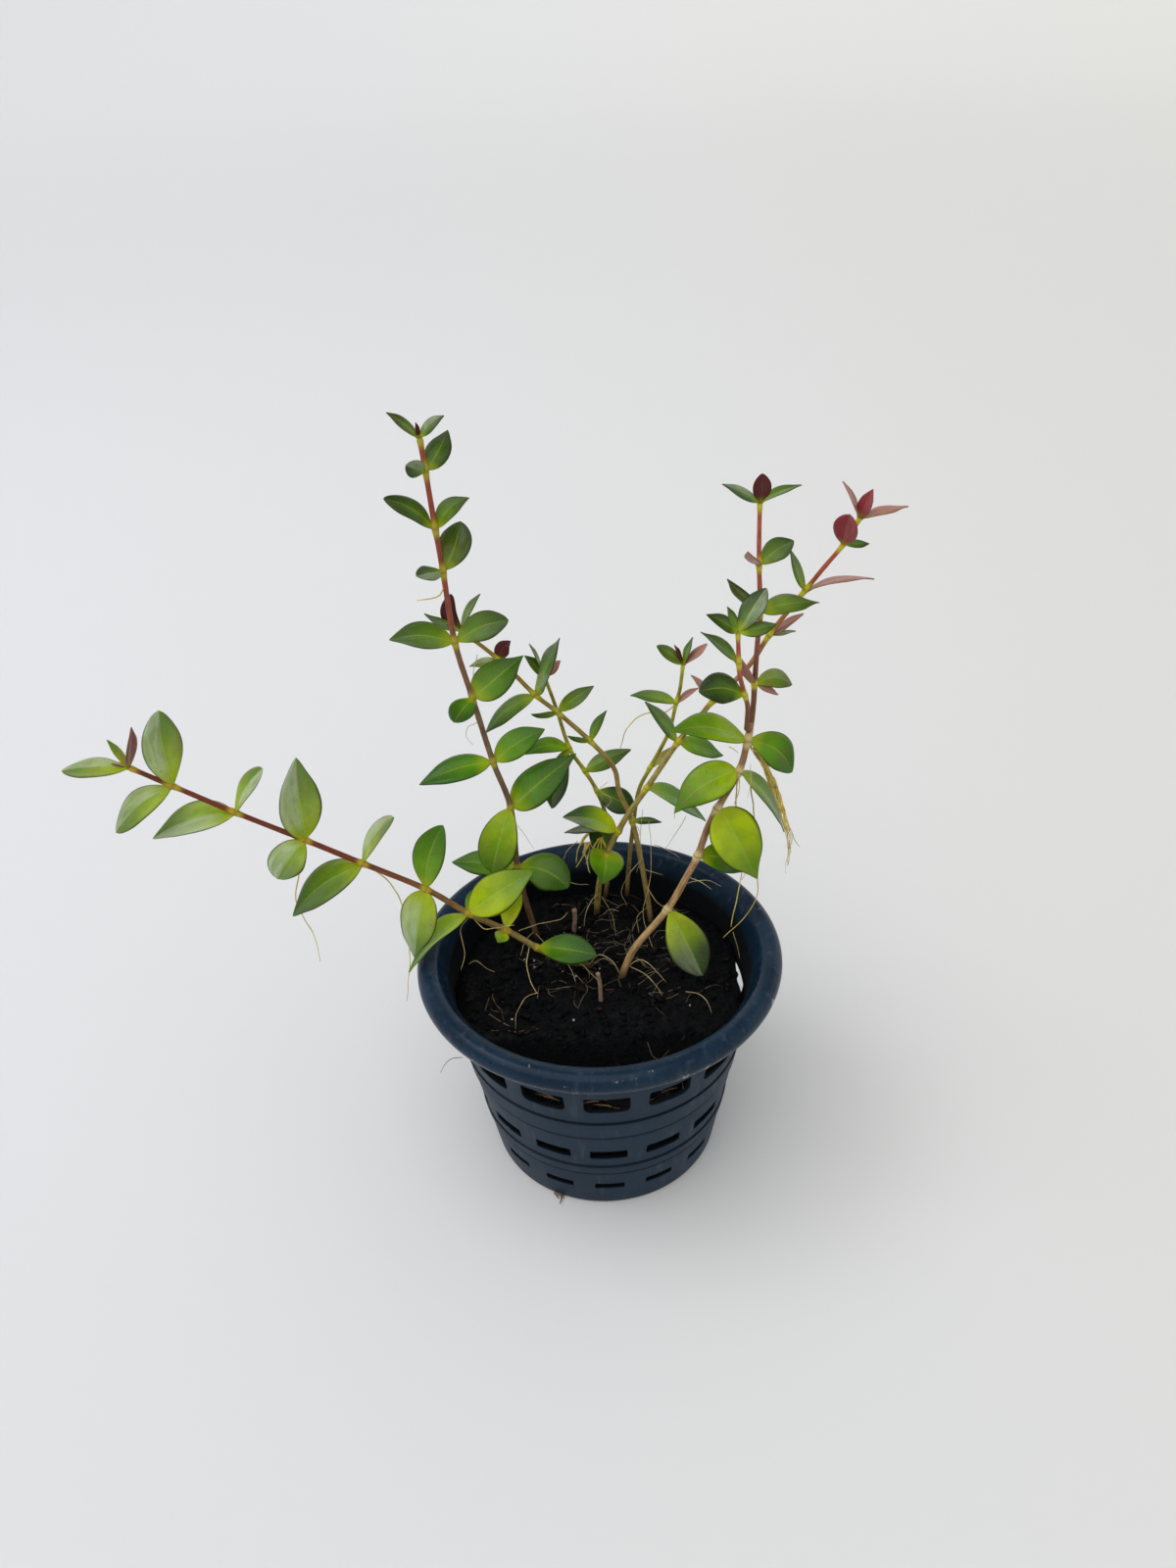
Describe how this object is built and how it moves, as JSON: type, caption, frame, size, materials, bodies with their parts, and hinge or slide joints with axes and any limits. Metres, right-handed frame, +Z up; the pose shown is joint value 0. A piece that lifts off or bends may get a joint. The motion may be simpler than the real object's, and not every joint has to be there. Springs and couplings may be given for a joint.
{
  "type": "potted dwarf rotala",
  "caption": "Small aquatic stem plant with paired glossy leaves, grown out of water in a dark slotted round nursery pot.",
  "frame": {"origin": "middle of the pot's underside", "axes": "+Z up; +X to the viewer's right in the picture, so the trailing stem reaches to -X; +Y away from the viewer"},
  "size_m": [0.2009, 0.1, 0.2101],
  "materials": {
    "pot_plastic": "satin moulded plastic, dark slate blue, lightly scuffed and dusty",
    "potting_mix": "damp, matt, crumbly",
    "stem": "smooth, slightly glossy bark and green young wood",
    "leaf": "glossy",
    "dry_fibre": "dry, matt"
  },
  "bodies": {
    "root": {"dry_stub_back": "dry_fibre", "dry_stub_front": "dry_fibre", "fork_left_branch": "stem", "fork_left_leaf_1": "leaf", "fork_left_leaf_2": "leaf", "fork_right_branch": "stem", "fork_right_leaf_1": "leaf", "forked_leaf_1": "leaf", "forked_leaf_2": "leaf", "forked_leaf_3": "leaf", "forked_leaf_4": "leaf", "forked_leaf_5": "leaf", "forked_leaf_6": "leaf", "forked_leaf_7": "leaf", "forked_stem": "stem", "growing_medium": "potting_mix", "leaning_leaf_1": "leaf", "leaning_leaf_2": "leaf", "leaning_leaf_3": "leaf", "leaning_stem": "stem", "middle_leaf_1": "leaf", "middle_leaf_2": "leaf", "middle_leaf_3": "leaf", "middle_stem": "stem", "pot": "pot_plastic", "slender_stem": "stem", "tall_leaf_1": "leaf", "tall_leaf_10": "leaf", "tall_leaf_11": "leaf", "tall_leaf_12": "leaf", "tall_leaf_13": "leaf", "tall_leaf_14": "leaf", "tall_leaf_15": "leaf", "tall_leaf_16": "leaf", "tall_leaf_2": "leaf", "tall_leaf_3": "leaf", "tall_leaf_4": "leaf", "tall_leaf_5": "leaf", "tall_leaf_6": "leaf", "tall_leaf_7": "leaf", "tall_leaf_8": "leaf", "tall_leaf_9": "leaf", "tall_stem": "stem", "thin_stem": "stem", "trailing_leaf_1": "leaf", "trailing_leaf_10": "leaf", "trailing_leaf_11": "leaf", "trailing_leaf_2": "leaf", "trailing_leaf_3": "leaf", "trailing_leaf_4": "leaf", "trailing_leaf_5": "leaf", "trailing_leaf_6": "leaf", "trailing_leaf_7": "leaf", "trailing_leaf_8": "leaf", "trailing_leaf_9": "leaf", "trailing_stem": "stem"}
  },
  "joints": []
}
